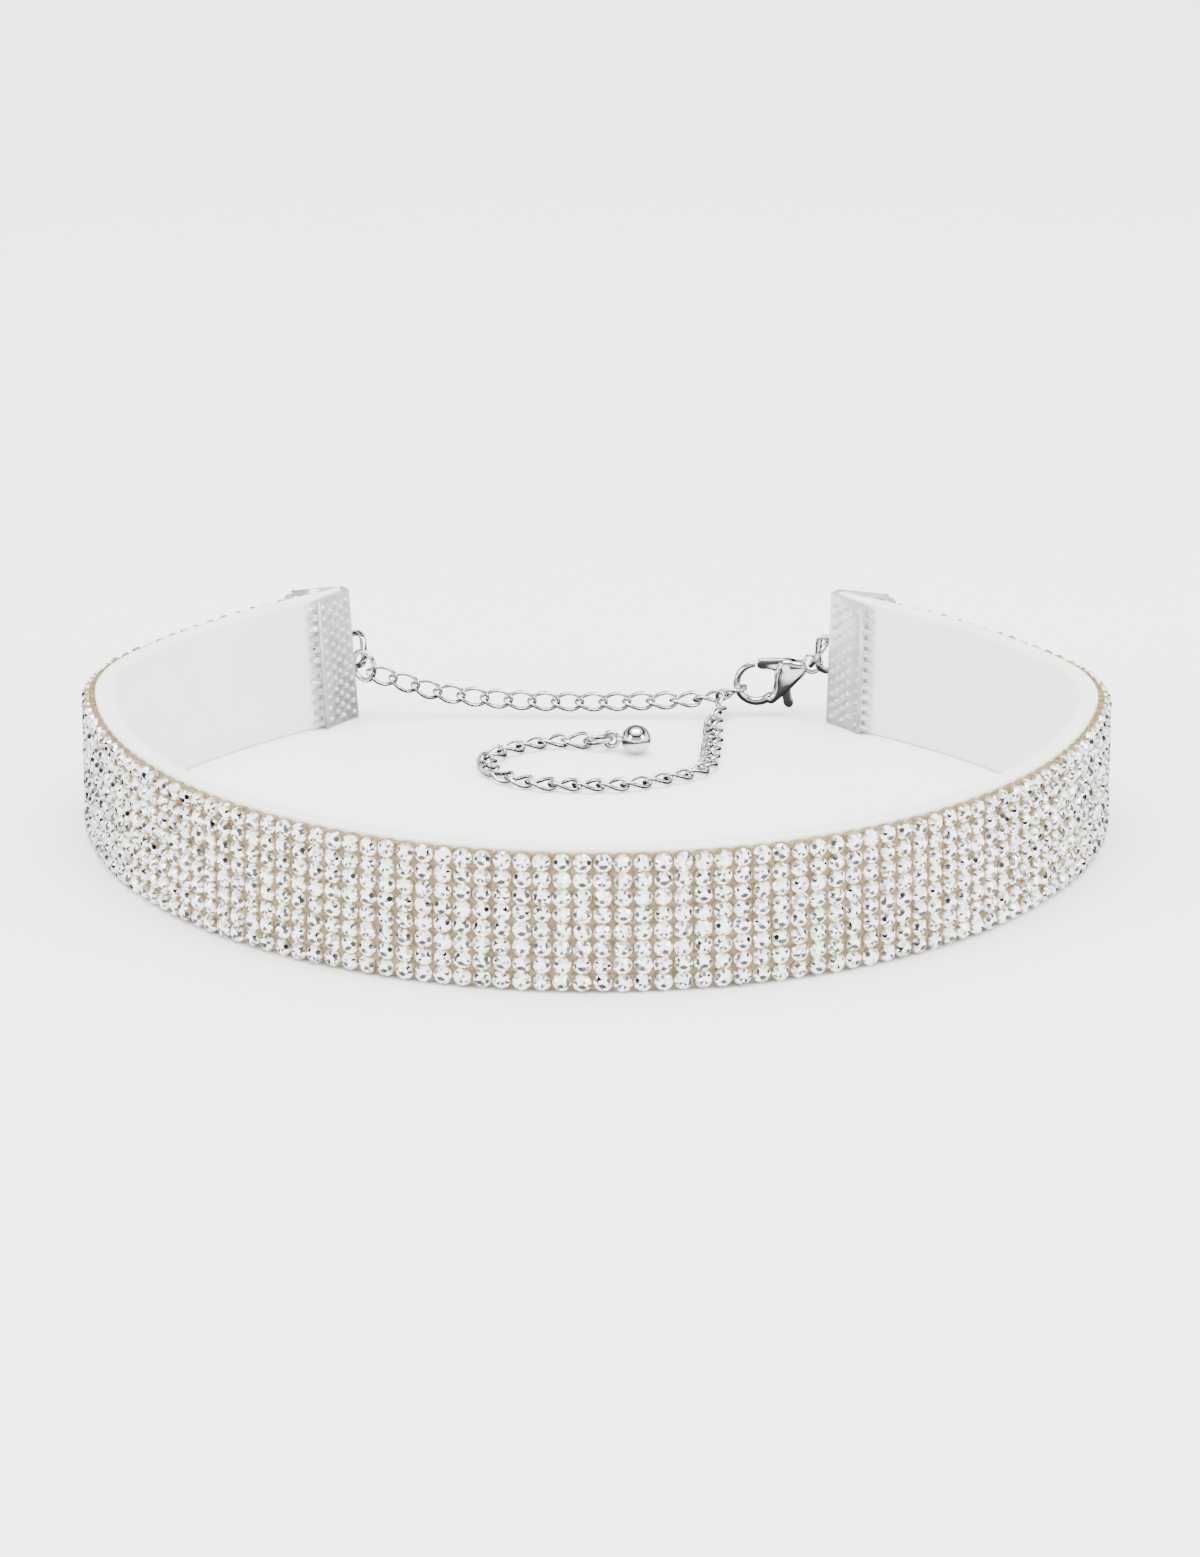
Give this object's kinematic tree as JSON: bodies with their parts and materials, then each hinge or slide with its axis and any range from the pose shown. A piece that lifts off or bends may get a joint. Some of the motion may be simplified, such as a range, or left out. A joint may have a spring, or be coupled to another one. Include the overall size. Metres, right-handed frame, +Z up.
{
  "type": "choker necklace",
  "caption": "Wide choker of faceted crystal rhinestones on a white suede backing, closed at the back by silver crimp ends, a curb extension chain with an end ball and a lobster clasp.",
  "frame": {"origin": "on the surface that the necklace stands on, under the middle of its outline", "axes": "+Z up along the band's height, -Y towards the front's middle, +Y towards the clasp, +X to the wearer's left as seen from the front"},
  "size_m": [0.1086, 0.0874, 0.015],
  "materials": {
    "white_backing": "soft suede",
    "stone_bed": "faceted clear stones over warm foil",
    "silver": "bright plated silver"
  },
  "bodies": {
    "necklace": {"band_backing": "white_backing", "stone_band": "stone_bed", "crimp_end_left": "silver", "crimp_end_right": "silver", "jump_ring_left": "silver", "jump_ring_right": "silver", "clasp_body": "silver", "link_01": "silver", "link_02": "silver", "link_03": "silver", "link_04": "silver", "link_05": "silver", "link_06": "silver", "link_07": "silver", "link_08": "silver", "link_09": "silver", "link_10": "silver", "link_11": "silver", "link_12": "silver", "link_13": "silver", "link_14": "silver", "link_15": "silver", "link_16": "silver", "link_17": "silver", "link_18": "silver", "link_19": "silver", "link_20": "silver", "link_21": "silver", "link_22": "silver", "link_23": "silver", "link_24": "silver", "link_25": "silver", "link_26": "silver", "link_27": "silver", "link_28": "silver", "link_29": "silver", "link_30": "silver", "link_31": "silver", "link_32": "silver", "link_33": "silver", "link_34": "silver", "link_35": "silver", "link_36": "silver", "link_37": "silver", "link_38": "silver", "link_39": "silver", "link_40": "silver", "link_41": "silver", "tail_ring": "silver", "end_ball": "silver"},
    "lever": {"clasp_lever": "silver"}
  },
  "joints": [
    {"name": "clasp_lever_turn", "type": "hinge", "parent": "necklace", "child": "lever", "pos_m": [0.02081, 0.04221, 0.00563], "axis": [0, -1, 0], "range_deg": [0, 26], "stiffness_Nm_per_rad": 0.0005, "springref_deg": -20.05}
  ]
}
